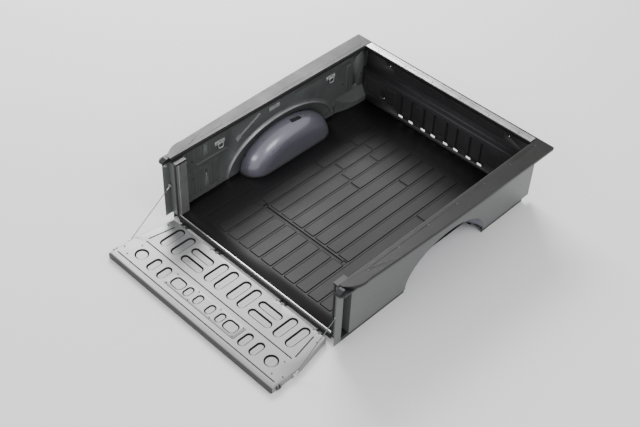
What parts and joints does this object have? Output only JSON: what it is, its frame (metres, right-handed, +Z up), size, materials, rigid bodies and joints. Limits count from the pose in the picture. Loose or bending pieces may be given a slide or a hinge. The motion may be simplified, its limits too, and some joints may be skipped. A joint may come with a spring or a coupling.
{
  "type": "truck bed liner",
  "caption": "Pickup bed lining set with ribbed floor mat, side and wheel-well covers, bulkhead, rail caps, tie-down rings and a drop-down tailgate on cables.",
  "frame": {"origin": "middle of the floor's rear edge, on the underside of the floor pan", "axes": "+X to the right-hand side, +Y forward to the bulkhead, +Z up"},
  "size_m": [1.956, 2.714, 0.589],
  "materials": {
    "mat_rubber": "matte, fine grain",
    "pan_metal": "satin",
    "side_plastic": "satin, fine grain",
    "well_plastic": "glossy",
    "bulkhead_plastic": "satin",
    "rail_plastic": "moulded grain",
    "end_cap_plastic": "satin",
    "edge_plastic": "moulded grain",
    "bright_trim": "brushed",
    "ribbed_trim": "ribbed, satin",
    "tailgate_metal": "metallic paint",
    "seal_rubber": "matte",
    "zinc_steel": "zinc plated",
    "hinge_steel": "plain",
    "screw_steel": "plain",
    "clip_plastic": "plain",
    "handle_plastic": "satin",
    "cable_steel": "coated wire rope"
  },
  "bodies": {
    "bed_lining": {"floor_pan": "pan_metal", "floor_mat": "mat_rubber", "sill_strip": "bright_trim", "sill_screws": "screw_steel", "side_panel_left": "side_plastic", "side_panel_right": "side_plastic", "wheel_well_cover_left": "well_plastic", "wheel_well_cover_right": "well_plastic", "wheel_arch_trim_left": "bright_trim", "wheel_arch_trim_right": "bright_trim", "rear_post_trim_left": "bright_trim", "rear_post_trim_right": "bright_trim", "post_seal_left": "seal_rubber", "post_seal_right": "seal_rubber", "side_brace_left": "zinc_steel", "side_brace_right": "zinc_steel", "side_panel_clips": "clip_plastic", "tie_down_plate_left_rear": "zinc_steel", "tie_down_plate_left_front": "zinc_steel", "tie_down_plate_right_rear": "zinc_steel", "tie_down_plate_right_front": "zinc_steel", "tie_down_bolts": "zinc_steel", "bulkhead_panel": "bulkhead_plastic", "bulkhead_cap": "rail_plastic", "bulkhead_trim_strip": "ribbed_trim", "bulkhead_screws": "screw_steel", "rail_cap_left": "rail_plastic", "rail_cap_right": "rail_plastic", "rail_end_cap_left": "end_cap_plastic", "rail_end_cap_right": "end_cap_plastic", "rail_cap_screws": "screw_steel", "hinge_bracket_outer_left": "hinge_steel", "hinge_bracket_outer_right": "hinge_steel", "hinge_bracket_inner_left": "hinge_steel", "hinge_bracket_inner_right": "hinge_steel", "hinge_bracket_bolts": "hinge_steel", "latch_striker_left": "zinc_steel", "latch_striker_right": "zinc_steel", "cable_anchor_left": "zinc_steel", "cable_anchor_right": "zinc_steel", "support_cable_left": "cable_steel", "support_cable_right": "cable_steel"},
    "tailgate": {"tailgate_panel": "tailgate_metal", "hinge_pins": "hinge_steel", "tailgate_back_panel": "tailgate_metal", "tailgate_top_cap": "edge_plastic", "tailgate_access_panel": "tailgate_metal", "tailgate_screws": "screw_steel", "tailgate_latch_left": "hinge_steel", "tailgate_latch_right": "hinge_steel", "cable_stud_left": "zinc_steel", "cable_stud_right": "zinc_steel"},
    "release_handle": {"release_handle": "handle_plastic"},
    "latch_rod_left": {"latch_rod_left": "hinge_steel"},
    "latch_rod_right": {"latch_rod_right": "hinge_steel"},
    "ring_left_rear": {"tie_down_ring_left_rear": "zinc_steel"},
    "ring_left_front": {"tie_down_ring_left_front": "zinc_steel"},
    "ring_right_rear": {"tie_down_ring_right_rear": "zinc_steel"},
    "ring_right_front": {"tie_down_ring_right_front": "zinc_steel"}
  },
  "joints": [
    {"name": "tailgate_hinge", "type": "hinge", "parent": "bed_lining", "child": "tailgate", "pos_m": [0, -0.045, 0.02], "axis": [-1, 0, 0], "range_deg": [0, 90], "deforming": ["support_cable_left", "support_cable_right"]},
    {"name": "handle_pivot", "type": "hinge", "parent": "tailgate", "child": "release_handle", "pos_m": [0, -0.472, 0.007], "axis": [1, 0, 0], "range_deg": [0, 35], "stiffness_Nm_per_rad": 0.8, "springref_deg": -20.05},
    {"name": "latch_rod_left_slide", "type": "slide", "parent": "tailgate", "child": "latch_rod_left", "axis": [1, 0, 0], "range_m": [0, 0.0125]},
    {"name": "latch_rod_right_slide", "type": "slide", "parent": "tailgate", "child": "latch_rod_right", "axis": [-1, 0, 0], "range_m": [0, 0.0125]},
    {"name": "ring_left_rear_swing", "type": "hinge", "parent": "bed_lining", "child": "ring_left_rear", "pos_m": [-0.836, 0.472, 0.454], "axis": [0, -1, 0], "range_deg": [0, 110]},
    {"name": "ring_left_front_swing", "type": "hinge", "parent": "bed_lining", "child": "ring_left_front", "pos_m": [-0.836, 1.651, 0.45], "axis": [0, -1, 0], "range_deg": [0, 110]},
    {"name": "ring_right_rear_swing", "type": "hinge", "parent": "bed_lining", "child": "ring_right_rear", "pos_m": [0.836, 0.472, 0.454], "axis": [0, 1, 0], "range_deg": [0, 110]},
    {"name": "ring_right_front_swing", "type": "hinge", "parent": "bed_lining", "child": "ring_right_front", "pos_m": [0.836, 1.651, 0.45], "axis": [0, 1, 0], "range_deg": [0, 110]}
  ],
  "couplings": [
    {"joint": "latch_rod_left_slide", "follows": "handle_pivot", "m_per_rad": 0.02},
    {"joint": "latch_rod_right_slide", "follows": "handle_pivot", "m_per_rad": 0.02}
  ]
}
